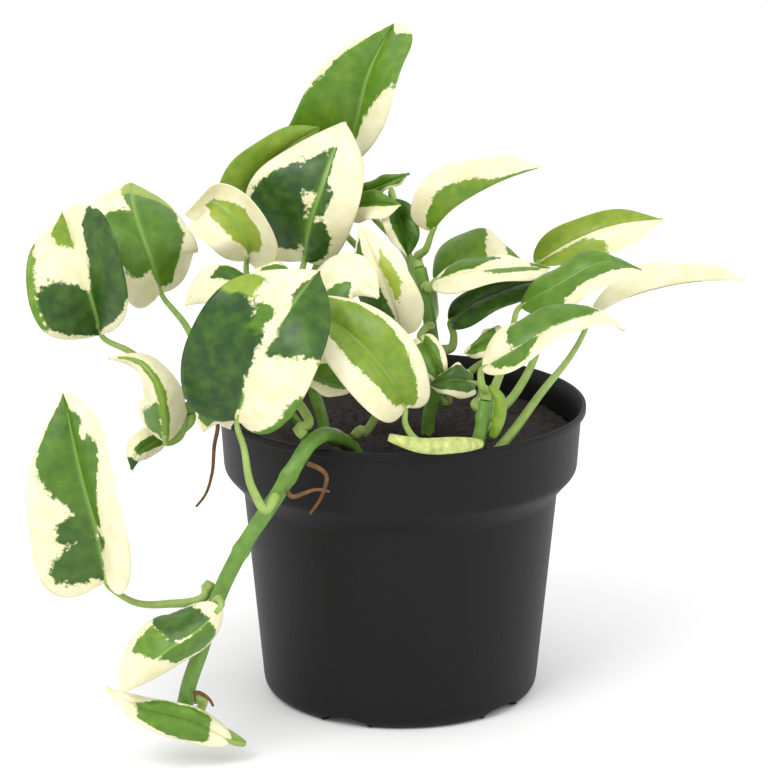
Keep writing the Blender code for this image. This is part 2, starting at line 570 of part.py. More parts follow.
def build_rolled_leaf():
    """A new leaf, still rolled, standing beside the front stem."""
    path, _ = smooth([(28.2, -48, 99), (30, -50, 105), (30, -51, 112), (27, -52, 116)], np.linspace(0, 1, 12))
    radii = 0.5 + 1.5 * np.sin(np.pi * np.linspace(0.12, 0.95, 12)) ** 0.7
    finish("new_leaf_rolled", tube_mesh("new_leaf_rolled", path, radii), "leaf")


build_pot()
build_soil()
build_stems()
build_roots()
for leaf_name, leaf_spec in LEAVES.items():
    build_leaf(leaf_name, leaf_spec)
build_sheath()
build_rolled_leaf()
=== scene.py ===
"""Looks for the potted variegated pothos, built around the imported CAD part.  Figures are millimetres."""

import bmesh
import bpy
import numpy as np
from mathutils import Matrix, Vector


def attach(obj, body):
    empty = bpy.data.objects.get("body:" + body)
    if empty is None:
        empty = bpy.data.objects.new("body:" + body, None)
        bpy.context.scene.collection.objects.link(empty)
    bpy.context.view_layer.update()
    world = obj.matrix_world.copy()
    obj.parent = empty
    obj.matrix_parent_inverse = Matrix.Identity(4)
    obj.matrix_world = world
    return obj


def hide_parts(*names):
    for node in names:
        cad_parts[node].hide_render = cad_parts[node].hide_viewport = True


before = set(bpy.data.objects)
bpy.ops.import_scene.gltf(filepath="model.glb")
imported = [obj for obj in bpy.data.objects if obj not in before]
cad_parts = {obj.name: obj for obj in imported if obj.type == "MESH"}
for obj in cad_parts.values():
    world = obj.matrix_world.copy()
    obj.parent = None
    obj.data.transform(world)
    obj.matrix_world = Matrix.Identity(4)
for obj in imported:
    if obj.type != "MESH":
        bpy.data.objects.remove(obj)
MM = 0.001
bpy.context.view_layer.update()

STALK_R_STEM = 1.7
STALK_R_BLADE = 1.0
STALK_GAP = 0.7
SKIN = 0.5

# ---------------------------------------------------------------- the grown pieces
STEMS = {
    "trailing_vine": (2.7, [(-13, -30, 80), (-15, -34, 90), (-20, -45, 97.5), (-24, -52, 100.6),
                            (-28, -57.5, 99.6), (-33, -62, 93), (-38, -64, 85), (-48, -66, 70),
                            (-56, -67, 54), (-62, -69, 36), (-66, -70, 24), (-67, -70, 19)]),
    "left_stem": (1.8, [(-30, -13, 78), (-33, -14, 93), (-44, -16, 101), (-56, -20, 102.5),
                        (-65, -22, 101), (-70, -22, 100.5)]),
    "centre_stem": (2.2, [(-24, -9, 78), (-25, -8, 91), (-29, -6, 105), (-32, -4, 120), (-35, -2, 132)]),
    "right_stem": (2.4, [(9, -3, 78), (9, -3, 92), (12, -3, 104), (10, -2, 118), (8, 0, 131), (6, 3, 140)]),
    "front_stem": (2.4, [(22, -47, 78), (23, -47, 93), (25, -46, 102), (26, -44, 109)]),
}

# Aerial roots: the stem each one leaves, then its run.
ROOTS = {
    "root_left": ("left_stem", [(-58, -25, 96), (-59, -27, 90), (-60, -28, 80), (-62, -29, 74),
                                (-65, -29, 70)]),
    "root_vine_upper": ("trailing_vine", [(-33, -69, 86), (-30, -69, 87), (-26, -68, 88),
                                          (-22, -67, 87)]),
    "root_vine_rim": ("trailing_vine", [(-23, -66, 92), (-24, -65, 86), (-28, -64, 79)]),
    "root_vine_end": ("trailing_vine", [(-63, -73, 24), (-60, -74, 23), (-59, -74, 22), (-58, -74, 20)]),
}


def leaf(rib, left, right, stem, joins, stalk, **shape):
    """rib: points along the midrib, base to tip.  left, right: from the midrib to each margin at
    the widest place.  joins: where the stalk leaves its stem.  stalk: the stalk's own bends."""
    return dict(rib=rib, left=left, right=right, stem=stem, joins=joins, stalk=stalk, **shape)


LEAVES = {
    "leaf_vine_left": leaf([(-91, -62, 56), (-93, -66, 74), (-97, -67, 91), (-103, -58, 116)],
                           (-21, 0, -4), (11, -12, 2), "trailing_vine", (-55, -68, 54),
                           [(-60, -64, 54), (-73, -62, 49), (-83, -60, 49), (-88, -60, 52)],
                           lobe=(0.2, 0.14), lform=(0.3, 0.5, 1.9), rform=(0.55, 0.6, 4.0)),
    "leaf_left_low": leaf([(-95, -16, 123), (-97, -22, 136), (-101, -20, 148), (-107, -8, 161)],
                          (-20, -7, 2), (13, -13, 10), "left_stem", (-66, -22, 101),
                          [(-68, -22, 105), (-76, -20, 111), (-86, -18, 118)],
                          lobe=(0.08, 0.0), lform=(0.32, 0.5, 1.5), rform=(0.52, 0.9, 1.7)),
    "leaf_left_high": leaf([(-77, 2, 132), (-80, -3, 145), (-84, 2, 155), (-88, 26, 163)],
                           (-14, -2, 0), (16, 10, -4), "left_stem", (-57, -20, 102),
                           [(-59, -16, 105), (-63, -10, 112), (-69, -4, 123)],
                           lobe=(0.22, 0.1), lform=(0.34, 0.5, 3.6), rform=(0.34, 0.6, 6.5)),
    "leaf_left_hanging": leaf([(-74, -34, 93), (-74, -38, 103), (-76, -38, 113), (-82, -34, 119),
                               (-92, -30, 119)],
                              (-8, 10, -4), (7, 10, -4), "left_stem", (-69, -22, 101),
                              [(-69, -25, 96), (-70, -29, 93)],
                              lobe=(0.02, 0.02), lform=(0.3, 0.35, 1.6), rform=(0.3, 0.35, 1.5)),
    "leaf_left_curled": leaf([(-74, -20, 91), (-79, -25, 90), (-83, -29, 88), (-85, -32, 83)],
                             (0, 1, -5), (-3, 3, 4), "left_stem", (-67, -20, 100),
                             [(-68, -20, 94), (-70, -19, 92)], lobe=(0, 0)),
    "leaf_top": leaf([(-18, 30, 168), (-14, 24, 184), (-10, 24, 200), (-2, 34, 214)],
                     (-23, 0, -3), (11, -14, 6), "centre_stem", (-34, -3, 127),
                     [(-31, 6, 129), (-24, 18, 146), (-20, 28, 159)],
                     lobe=(0.14, 0.04), lform=(0.36, 0.5, 1.6), rform=(0.5, 0.9, 2.2)),
    "leaf_back_left": leaf([(-53, 18, 157), (-45, 14, 169), (-36, 13, 178), (-26, 18, 183)],
                           (-8, -2, 5), (10, 6, -8), "centre_stem", (-33, -3, 123),
                           [(-37, 4, 124), (-46, 14, 137), (-52, 19, 151)]),
    "leaf_centre_cream": leaf([(-31, 4, 142), (-29, -2, 155), (-24, -1, 170), (-18, 12, 186)],
                              (-23, 10, 1), (15, -2, 3), "centre_stem", (-35, -2, 132),
                              [(-33, 1, 137)], lform=(0.38, 0.5, 3.4), rform=(0.36, 0.5, 1.7), cap=True),
    "leaf_cupped": leaf([(-49, -8, 145), (-49, -13, 154), (-54, -12, 161), (-61, -8, 164),
                         (-68, -12, 161)],
                        (9, -5, 3), (-14, -3, -2), "centre_stem", (-32, -4, 119),
                        [(-37, -8, 122), (-46, -8, 134), (-49, -7, 140)],
                        lobe=(0.1, 0.1), lform=(0.34, 0.5, 2.4), rform=(0.36, 0.6, 2.4)),
    "leaf_front_left": leaf([(-50, -62, 108), (-45, -68, 124), (-37, -66, 139), (-25, -50, 152)],
                            (-21, 4, 8), (17, -6, -3), "trailing_vine", (-38, -65, 84),
                            [(-41, -73, 83), (-45, -72, 89), (-48, -66, 101)],
                            lobe=(0.16, 0.14), lform=(0.42, 0.6, 2.6), rform=(0.36, 0.55, 2.0)),
    "leaf_front_centre": leaf([(1, -52, 109), (-6, -56, 123), (-17, -50, 133), (-34, -36, 139)],
                              (-8, -9, -7), (10, 3, 7), "front_stem", (23, -47, 95),
                              [(18, -49, 96), (11, -52, 97), (4, -54, 100), (1, -53, 105)],
                              lobe=(0.06, 0.14), lform=(0.4, 0.6, 2.0), rform=(0.36, 0.5, 2.2)),
    "leaf_speckled": leaf([(0, -22, 125), (-3, -26, 137), (-8, -22, 148), (-13, -12, 158)],
                          (-10, 6, -3), (9, 0, 2), "right_stem", (11, -3, 105),
                          [(9, -9, 109), (3, -17, 118)],
                          lobe=(0.1, 0.06), lform=(0.36, 0.5, 2.0), rform=(0.36, 0.5, 1.8)),
    "leaf_right_high": leaf([(10, -2, 153), (15, -6, 160), (29, -6, 169), (45, 0, 174)],
                            (-7, -1, 11), (-5, 19, 4), "right_stem", (6, 3, 140), [(8, 0, 147)],
                            lobe=(0.1, 0.1), lform=(0.34, 0.5, 1.7), rform=(0.36, 0.5, 2.0), cap=True),
    "leaf_centre_dark": leaf([(-2, 10, 161), (0, 6, 154), (2, 2, 144)],
                             (6, -4, 0), (-6, -6, 1), "right_stem", (7, 2, 136),
                             [(4, 8, 138), (0, 17, 148), (-3, 19, 158), (-3, 15, 163)], lobe=(0.05, 0.05)),
    "leaf_centre_small": leaf([(-18, 10, 158), (-9, 4, 161), (0, 2, 161)],
                              (0, 3, 4), (1, -7, -4), "right_stem", (8, 0, 128),
                              [(4, 8, 127), (-10, 20, 139), (-20, 18, 151)], lobe=(0.05, 0.05)),
    "leaf_centre_narrow": leaf([(-13, 22, 160), (-5, 19, 164), (3, 17, 168)],
                               (-2, 3, 2), (2, -3, -1), "right_stem", (7, 1, 132),
                               [(7, 10, 132), (0, 26, 142), (-11, 27, 154)], lobe=(0.05, 0.05)),
    "leaf_right_domed": leaf([(11, 14, 133), (20, 10, 140), (30, 10, 142), (39, 14, 140)],
                             (0, 10, 8), (2, -4, -5), "right_stem", (9, -1, 124),
                             [(11, 8, 124), (11, 14, 128)], lobe=(0.08, 0.08), lform=(0.4, 0.5, 2.6)),
    "leaf_right_flat": leaf([(11, -6, 138), (22, -10, 142), (35, -8, 143), (48, 3, 140)],
                            (0, 10, 2), (1, -10, -3), "right_stem", (7, 1, 134),
                            [(9, -6, 135)], lobe=(0.05, 0.05)),
    "leaf_right_dark": leaf([(16, 0, 123), (22, -4, 130), (33, -4, 135), (45, 2, 136)],
                            (-2, 4, 3), (4, -9, -3), "right_stem", (11, -2, 114),
                            [(17, -1, 119)], lobe=(0.05, 0.05)),
    "leaf_right_outer": leaf([(44, 16, 138), (53, 12, 145), (65, 10, 151), (85, 16, 153)],
                             (6, -9, -4), (-3, 1, 6), "front_stem", (24, -47, 101),
                             [(27, -37, 100), (36, -22, 105), (44, -4, 116), (45, 12, 128)],
                             lobe=(0.0, 0.04), lform=(0.5, 0.8, 1.4), rform=(0.36, 0.55, 2.0)),
    "leaf_right_green": leaf([(38, -15, 132), (49, -20, 140), (62, -20, 147), (76, -13, 143)],
                             (-2, 8, 3), (4, -9, -5), "front_stem", (25, -46, 105),
                             [(28, -40, 108), (32, -30, 117), (35, -22, 126)],
                             lobe=(0.02, 0.02), lform=(0.36, 0.6, 2.0), rform=(0.4, 0.8, 1.9)),
    "leaf_right_long": leaf([(62, 10, 122), (71, 5, 129), (87, 5, 134), (112, 12, 134)],
                            (-1, -1, 8), (2, 11, 2), "front_stem", (23, -47, 91),
                            [(29, -43, 92), (44, -22, 105), (59, 6, 117)],
                            lobe=(0.0, 0.0), lform=(0.36, 0.7, 2.2), rform=(0.36, 0.7, 2.2)),
    "leaf_front_right": leaf([(25, -46, 120), (35, -52, 128), (48, -50, 135), (60, -44, 136),
                              (69, -42, 131)],
                             (-4, 10, 4), (2, -10, -2), "front_stem", (26, -44, 109),
                             [(25, -46, 114)],
                             lobe=(0.03, 0.0), lform=(0.3, 0.5, 1.9), rform=(0.36, 0.8, 1.7), cap=True),
    "leaf_rim_small": leaf([(22, -30, 111), (17, -34, 113), (9, -32, 111)],
                           (0, -5, -4), (0, 5, 4), "front_stem", (26, -45, 107),
                           [(23, -38, 106), (25, -30, 107), (25, -27, 109)]),
    "leaf_white_arch": leaf([(-31, -29, 133), (-23, -35, 144), (-14, -38, 147), (-7, -41, 141)],
                            (-2, 10, 4), (4, -7, -7), "centre_stem", (-31, -5, 114),
                            [(-30, -12, 118), (-31, -23, 126)], lobe=(0.0, 0.0), lform=(0.36, 0.5, 2.6)),
    "leaf_left_back": leaf([(-43, -28, 137), (-51, -32, 143), (-60, -34, 144), (-67, -34, 137)],
                           (-1, -7, -7), (-3, 8, 4), "trailing_vine", (-27, -57, 100),
                           [(-29, -54, 104), (-34, -46, 113), (-40, -34, 128)]),
    "leaf_mottled": leaf([(-32, -18, 139), (-39, -22, 144), (-47, -24, 145)],
                         (-2, -5, -3), (-1, 5, 3), "centre_stem", (-34, -3, 127),
                         [(-32, -10, 130), (-32, -16, 135)], lobe=(0, 0)),
    "leaf_crumpled": leaf([(-50, -44, 108), (-55, -48, 110), (-60, -50, 107), (-61, -50, 101)],
                          (3, -4, -7), (-3, 6, 3), "left_stem", (-46, -17, 101),
                          [(-46, -26, 101), (-48, -38, 104)], lobe=(0, 0)),
    "leaf_under_centre": leaf([(-15, -38, 112), (-24, -42, 116), (-33, -42, 118)],
                              (-2, -6, -3), (0, 6, 6), "trailing_vine", (-17, -38, 93),
                              [(-12, -35, 96), (-8, -34, 102), (-11, -35, 108)], lobe=(0, 0)),
    "leaf_behind_front": leaf([(32, -8, 122), (26, -12, 119), (20, -12, 116)],
                              (2, -4, -4), (-1, 4, 2), "right_stem", (11, -3, 98),
                              [(15, -1, 99), (23, -1, 107), (32, -3, 115)]),
    "leaf_pale_small": leaf([(6, -21, 123), (9, -27, 119), (13, -29, 110)],
                            (5, -1, 1), (-5, -1, -3), "right_stem", (9, -1, 122),
                            [(9, -9, 124), (7, -15, 124)]),
    "leaf_vine_folded": leaf([(-55, -78, 54), (-61, -81, 48), (-71, -84, 42), (-85, -86, 29)],
                             (3, 6, -7), (-10, 10, 3), "trailing_vine", (-56, -67, 53),
                             [(-56, -74, 55)],
                             lobe=(0.0, 0.1), lform=(0.36, 0.6, 3.0), rform=(0.36, 0.6, 3.0)),
    "leaf_vine_tip": leaf([(-53, -73, 8), (-64, -78, 16), (-78, -80, 21), (-91, -74, 26)],
                          (-2, -1, -6), (1, 3, 4), "trailing_vine", (-67, -70, 21),
                          [(-63, -67, 13), (-54, -66, 8), (-49, -70, 6)],
                          lobe=(0.02, 0.02), lform=(0.4, 0.6, 1.9), rform=(0.36, 0.5, 2.2)),
}

WIDEST = 0.38
LEAST_HALF_WIDTH = 0.6
PLAIN_FORM = (0.36, 0.5, 2.0)
PLAIN_LOBE = (0.16, 0.16)
CROWN = 1.5
WAVE = 1.0

# ---------------------------------------------------------------- curves and frames
def unit(v):
    return v / np.maximum(np.linalg.norm(v, axis=-1, keepdims=True), 1e-9)


def smooth(points, steps):
    """Positions and directions on a smooth curve through the points; straight beyond its ends."""
    p = np.asarray(points, float)
    knots = np.r_[0, np.cumsum(np.linalg.norm(np.diff(p, axis=0), axis=1))]
    knots /= knots[-1]
    n = len(p)
    chord = np.diff(p, axis=0) / np.diff(knots)[:, None]
    slope = np.zeros_like(p)
    if n == 2:
        slope[:] = chord[0]
    else:
        for i in range(1, n - 1):
            before = knots[i] - knots[i - 1]
            after = knots[i + 1] - knots[i]
            slope[i] = (chord[i - 1] * after + chord[i] * before) / (before + after)
        slope[0] = 1.5 * chord[0] - 0.5 * slope[1]
        slope[-1] = 1.5 * chord[-1] - 0.5 * slope[-2]
    s = np.atleast_1d(np.asarray(steps, float))
    inside = np.clip(s, 0, 1)
    i = np.clip(np.searchsorted(knots, inside, side="right") - 1, 0, n - 2)
    h = (knots[i + 1] - knots[i])[:, None]
    u = (inside - knots[i])[:, None] / h
    place = ((2 * u**3 - 3 * u**2 + 1) * p[i] + (u**3 - 2 * u**2 + u) * h * slope[i]
             + (-2 * u**3 + 3 * u**2) * p[i + 1] + (u**3 - u**2) * h * slope[i + 1])
    way = ((6 * u**2 - 6 * u) * p[i] + (3 * u**2 - 4 * u + 1) * h * slope[i]
           + (-6 * u**2 + 6 * u) * p[i + 1] + (3 * u**2 - 2 * u) * h * slope[i + 1]) / h
    return place + (s - inside)[:, None] * way, way


def turned(a, b, v):
    """v carried by the turn that takes direction a to direction b."""
    c = np.cross(a, b)
    d = np.sum(a * b, -1, keepdims=True)
    return v * d + np.cross(c, v) + c * np.sum(c * v, -1, keepdims=True) / np.maximum(1 + d, 0.15)


def half_width(u, form):
    """How wide a half blade is at u, as a share of its widest: form is (where, heel, tip)."""
    widest, heel, tip = form
    u = np.clip(u, 0, 1)
    near_base = (1 - (1 - np.minimum(u / widest, 1)) ** 2) ** heel
    near_tip = 1 - np.clip((u - widest) / (1 - widest), 0, 1) ** tip
    return np.where(u < widest, near_base, near_tip)


def blade_grid(spec, rows, columns):
    """Middle surface of a blade and its normals: rows base to tip, columns left to right."""
    u, t = np.meshgrid(rows, columns, indexing="ij")
    left = t < 0
    lobe = spec.get("lobe", PLAIN_LOBE)
    lobe = np.where(left, lobe[0], lobe[1])
    wide = np.where(left, half_width(u, spec.get("lform", PLAIN_FORM)),
                    half_width(u, spec.get("rform", PLAIN_FORM)))
    reach = np.where(left, np.linalg.norm(spec["left"]), np.linalg.norm(spec["right"]))
    wide = np.maximum(wide, LEAST_HALF_WIDTH / reach).ravel()[:, None]
    along = (u - lobe * 4.5 * u**0.6 * (1 - u) ** 4 * np.abs(t) ** 1.4).ravel()
    place, way = smooth(spec["rib"], along)
    way = unit(way)
    at_widest = unit(smooth(spec["rib"], [WIDEST])[1])[0]
    first = np.broadcast_to(at_widest, way.shape)
    to_left = turned(first, way, np.broadcast_to(np.array(spec["left"], float), way.shape))
    to_right = turned(first, way, np.broadcast_to(np.array(spec["right"], float), way.shape))
    t = t.ravel()[:, None]
    side = np.where(t < 0, to_left, to_right)
    up = unit(np.cross(to_right - to_left, way))
    a = np.abs(t)
    lift = CROWN * 0.9 * 4 * a * (1 - a)
    ripple = WAVE * a**2 * np.sin(4 * np.pi * u.ravel()[:, None] + np.where(t < 0, 0.0, 2.0))
    points = (place + side * a * wide + up * wide * (lift + ripple)).reshape(u.shape + (3,))
    normals = unit(np.cross(np.gradient(points, axis=1), np.gradient(points, axis=0)))
    return points, normals


# ---------------------------------------------------------------- variegation
# The green of each leaf, as (tone, corners) patches: corners are (s, t), s running base to tip and t
# left margin to right, and tone 0 is the darkest green and 1 yellow-green.
PATCHES = {
    "leaf_vine_left": [
        (0.3, [(1.0, -0.3), (0.9, -0.8), (0.8, -0.88), (0.7, -0.85), (0.58, -0.6), (0.5, -0.3), (0.38, -0.1),
               (0.33, 0.0), (0.35, 0.15), (0.45, 0.3), (0.55, 0.45), (0.62, 0.6), (0.7, 0.75), (0.74, 0.6),
               (0.72, 0.3), (0.8, 0.25), (0.83, 0.5), (0.9, 0.2), (1.0, 0.1)]),
        (0.15, [(0.28, -0.02), (0.29, -0.45), (0.33, -0.6), (0.38, -0.5), (0.39, -0.2), (0.36, 0.0)]),
        (0.15, [(0.03, -0.05), (0.08, -0.5), (0.15, -0.8), (0.22, -0.7), (0.26, -0.35), (0.27, -0.05)]),
        (0.2, [(0.2, 0.0), (0.22, 0.2), (0.27, 0.25), (0.3, 0.1), (0.3, 0.0)])],
    "leaf_left_low": [
        (0.6, [(1.0, 0.0), (0.95, -0.5), (0.8, -0.62), (0.7, -0.4), (0.72, -0.05)]),
        (0.08, [(0.02, 0.0), (0.1, 0.3), (0.2, 0.75), (0.35, 1.1), (0.6, 1.1), (0.76, 0.9), (0.7, 0.5),
                (0.5, 0.25), (0.38, 0.1), (0.35, 0.0)]),
        (0.08, [(0.0, -0.1), (0.1, -0.7), (0.25, -0.85), (0.4, -0.8), (0.43, -0.4), (0.38, -0.1),
                (0.3, 0.0)]),
        (0.5, [(0.2, -1.1), (0.2, -0.9), (0.6, -0.88), (0.75, -1.1)])],
    "leaf_left_high": [
        (0.35, [(0.05, 0.0), (0.1, 0.4), (0.3, 0.55), (0.5, 0.75), (0.8, 0.8), (0.85, -0.25), (0.75, -0.2),
                (0.6, -0.05), (0.55, -0.7), (0.4, -0.8), (0.25, -0.6), (0.2, -0.1)]),
        (0.8, [(0.78, -0.3), (1.0, -0.5), (1.0, 0.8), (0.8, 0.8)])],
    "leaf_left_hanging": [(0.6, [(0.0, -0.1), (0.9, -0.12), (0.9, 0.15), (0.0, 0.2)]),
                          (0.4, [(0.05, -0.2), (0.1, -0.8), (0.3, -0.8), (0.35, -0.2)])],
    "leaf_left_curled": [(0.3, [(0.0, -0.5), (0.7, -0.3), (0.7, 0.4), (0.0, 0.3)]),
                         (0.1, [(0.85, -1.0), (1.0, -1.0), (1.0, 1.0), (0.85, 1.0)])],
    "leaf_top": [
        (0.42, [(0.02, -0.3), (0.1, -1.1), (0.5, -1.1), (0.62, -0.8), (0.8, -0.72), (1.0, -0.6), (1.0, 0.3),
                (0.9, 0.35), (0.82, 0.55), (0.75, 1.1), (0.52, 1.1), (0.45, 0.5), (0.35, 0.2), (0.1, 0.15)])],
    "leaf_back_left": [(0.6, [(0.0, -1.0), (1.0, -1.0), (1.0, 0.85), (0.0, 0.85)])],
    "leaf_centre_cream": [
        (0.05, [(0.12, -0.15), (0.15, -0.5), (0.25, -0.8), (0.45, -0.88), (0.62, -0.75), (0.72, -0.5),
                (0.66, -0.35), (0.5, -0.3), (0.42, -0.14), (0.25, -0.12)]),
        (0.1, [(0.35, -0.02), (0.38, 0.25), (0.48, 0.3), (0.52, 0.1), (0.5, -0.02)]),
        (0.1, [(0.5, 0.0), (0.55, -0.3), (0.68, -0.38), (0.76, -0.2), (0.72, 0.0), (0.65, 0.1)]),
        (0.1, [(0.02, 0.0), (0.04, 0.5), (0.12, 0.7), (0.22, 0.6), (0.28, 0.3), (0.27, 0.0)]),
        (0.1, [(0.0, -0.05), (0.8, -0.04), (0.8, 0.04), (0.0, 0.05)])],
    "leaf_cupped": [(0.62, [(0.1, 0.0), (0.2, -0.4), (0.5, -0.5), (0.7, -0.2), (0.75, 0.1), (0.55, 0.35),
                            (0.25, 0.3)])],
    "leaf_front_left": [
        (0.05, [(0.0, -0.2), (0.03, -1.1), (0.4, -1.1), (0.62, -1.1), (0.66, -0.7), (0.62, -0.45),
                (0.5, -0.18), (0.35, -0.1), (0.1, -0.05)]),
        (0.7, [(0.62, -1.1), (0.75, -1.1), (0.78, -0.7), (0.66, -0.55)]),
        (0.3, [(0.5, -0.2), (0.65, -0.2), (0.66, -0.34), (0.52, -0.36)]),
        (0.12, [(0.45, 0.1), (0.48, 0.6), (0.5, 1.1), (0.8, 1.1), (1.0, 0.6), (1.0, 0.0), (0.85, -0.1),
                (0.7, 0.05)]),
        (0.4, [(0.05, 1.1), (0.3, 1.1), (0.3, 0.92), (0.05, 0.9)])],
    "leaf_front_centre": [(0.58, [(0.02, 0.0), (0.05, 0.5), (0.3, 0.62), (0.5, 0.78), (0.85, 0.8), (1.0, 0.6),
                                  (1.0, -0.4), (0.8, -0.5), (0.4, -0.45), (0.1, -0.35)])],
    "leaf_speckled": [(0.2, [(0.05, -0.1), (0.1, -0.8), (0.35, -1.0), (0.7, -0.9), (0.85, -0.5), (0.6, -0.3),
                             (0.3, -0.15)]),
                      (0.9, [(0.35, 0.2), (0.45, 0.6), (0.7, 0.5), (0.6, 0.15)])],
    "leaf_right_high": [(0.5, [(0.0, 0.0), (0.05, -0.5), (0.3, -0.62), (0.5, -0.55), (0.62, -0.2),
                               (0.95, -0.12), (0.95, 0.05), (0.6, 0.02), (0.3, 0.0)])],
    "leaf_centre_dark": [(0.2, [(0.0, -1.1), (1.0, -1.1), (1.0, 0.3), (0.5, 0.6), (0.0, 0.5)])],
    "leaf_centre_small": [(0.4, [(0.2, -1.1), (1.0, -1.1), (1.0, 0.4), (0.5, 0.3), (0.2, 0.1)])],
    "leaf_centre_narrow": [(0.4, [(0.0, -0.9), (1.0, -0.9), (1.0, 0.8), (0.0, 0.8)])],
    "leaf_right_domed": [(0.45, [(0.0, -1.1), (0.6, -1.1), (0.62, 0.2), (0.6, 1.1), (0.0, 1.1)]),
                         (0.45, [(0.85, -1.1), (1.0, -1.1), (1.0, 1.1), (0.88, 1.1)])],
    "leaf_right_flat": [(0.3, [(0.05, -0.1), (0.15, -0.9), (0.4, -0.95), (0.5, -0.5), (0.3, -0.1)]),
                        (0.4, [(0.4, 0.3), (0.7, 0.25), (0.8, 0.5), (0.45, 0.6)]),
                        (0.4, [(0.8, -0.3), (1.0, -0.4), (1.0, 0.6), (0.85, 0.5)])],
    "leaf_right_dark": [(0.1, [(0.0, -1.1), (1.0, -1.1), (1.0, 0.5), (0.7, 1.1), (0.0, 1.1)])],
    "leaf_right_outer": [(0.55, [(0.0, 0.05), (0.0, 1.1), (1.0, 1.1), (1.0, 0.1), (0.5, 0.1)]),
                         (0.55, [(0.0, -0.1), (0.0, -1.1), (0.42, -1.1), (0.48, -0.4), (0.4, -0.1)])],
    "leaf_right_green": [(0.38, [(0.0, -1.1), (1.0, -1.1), (1.0, 0.35), (0.6, 0.55), (0.35, 0.6), (0.2, 1.1),
                                 (0.0, 1.1)])],
    "leaf_right_long": [(0.9, [(0.3, 0.0), (0.7, 0.02), (0.7, 0.12), (0.3, 0.15)])],
    "leaf_front_right": [(0.35, [(0.25, -0.05), (0.28, -0.7), (0.45, -1.1), (0.7, -1.1), (0.8, -0.5),
                                 (0.75, -0.05)]),
                         (0.35, [(0.08, 0.05), (0.15, 0.7), (0.3, 0.85), (0.4, 0.4), (0.38, 0.05)])],
    "leaf_rim_small": [(0.15, [(0.0, -0.7), (1.0, -0.7), (1.0, 0.7), (0.0, 0.7)])],
    "leaf_white_arch": [(0.35, [(0.3, 0.2), (0.4, 0.8), (0.6, 0.85), (0.65, 0.3)])],
    "leaf_left_back": [(0.15, [(0.05, 0.0), (0.1, 0.7), (0.5, 0.8), (0.6, 0.2)])],
    "leaf_vine_folded": [(0.15, [(0.12, 0.0), (0.15, 0.9), (0.4, 1.0), (0.45, 0.1)]),
                         (0.45, [(0.45, 0.0), (0.47, 0.8), (0.65, 0.7), (0.65, 0.05)]),
                         (0.35, [(0.15, -0.1), (0.2, -0.9), (0.55, -0.8), (0.6, -0.1)])],
    "leaf_vine_tip": [(0.4, [(0.2, -0.3), (0.25, 0.8), (0.6, 0.9), (0.75, 0.3), (0.7, -0.6), (0.4, -0.9),
                             (0.22, -0.7)])],
}
PLAIN_PATCH = [(0.4, [(0.1, -0.6), (0.9, -0.6), (0.8, 0.5), (0.2, 0.6)])]
LENGTH_SHARE = 2.2
FAR = 9.0
PLAIN_TONE = 0.3


def depth_in(polygon, u, t):
    """Signed distance into a patch, in half widths of the blade: positive inside."""
    x = u * LENGTH_SHARE
    corners = [(s * LENGTH_SHARE, side) for s, side in polygon]
    nearest = np.full(u.shape, FAR)
    crossings = np.zeros(u.shape, int)
    for (x0, y0), (x1, y1) in zip(corners, corners[1:] + corners[:1]):
        dx, dy = x1 - x0, y1 - y0
        w = np.clip(((x - x0) * dx + (t - y0) * dy) / (dx * dx + dy * dy), 0, 1)
        nearest = np.minimum(nearest, np.hypot(x - x0 - w * dx, t - y0 - w * dy))
        if dy:
            crossings += ((y0 > t) != (y1 > t)) & (x < x0 + dx * (t - y0) / dy)
    return np.where(crossings % 2 == 1, nearest, -nearest)


def fields(name, u, t):
    """Depth in the nearest green patch, and that patch's tone."""
    best = np.full(u.shape, -FAR)
    tone = np.full(u.shape, PLAIN_TONE)
    for shade, polygon in PATCHES.get(name, PLAIN_PATCH):
        near = depth_in(polygon, u, t)
        tone = np.where(near > best, shade, tone)
        best = np.maximum(best, near)
    return np.clip(best, -1, 1), tone


# ---------------------------------------------------------------- materials
# Bump distances are metres, and a noise scale is its number of cells in a metre.
GRAIN_DEPTH = 0.0006
GRAIN_DETAIL = 6
GRAIN_FROM, GRAIN_TO = 0.3, 0.7
LEAF_ROUGH = 0.38
LEAF_SHINE = 0.4
LEAF_BUMP = 0.25
LEAF_BUMP_DEPTH = 0.0004
POT_SHINE = 0.22
BROAD_CELLS, FINE_CELLS, TONE_CELLS, SPECKLE_CELLS = 170, 620, 260, 1500
DARK_GREEN = (0.012, 0.055, 0.004)
MIDDLE_GREEN = (0.095, 0.215, 0.012)
MIDDLE_GREEN_AT = 0.42
YELLOW_GREEN = (0.38, 0.46, 0.045)
CREAM = (0.76, 0.70, 0.42)
PALE_CREAM = (0.84, 0.81, 0.58)
SPECKLE_GREEN = (0.34, 0.43, 0.12)
RIB_ON_CREAM = (0.78, 0.78, 0.48)
RIB_ON_GREEN = (0.20, 0.36, 0.06)


def wire(tree, a, out, b, into):
    tree.links.new(a.outputs[out], b.inputs[into])


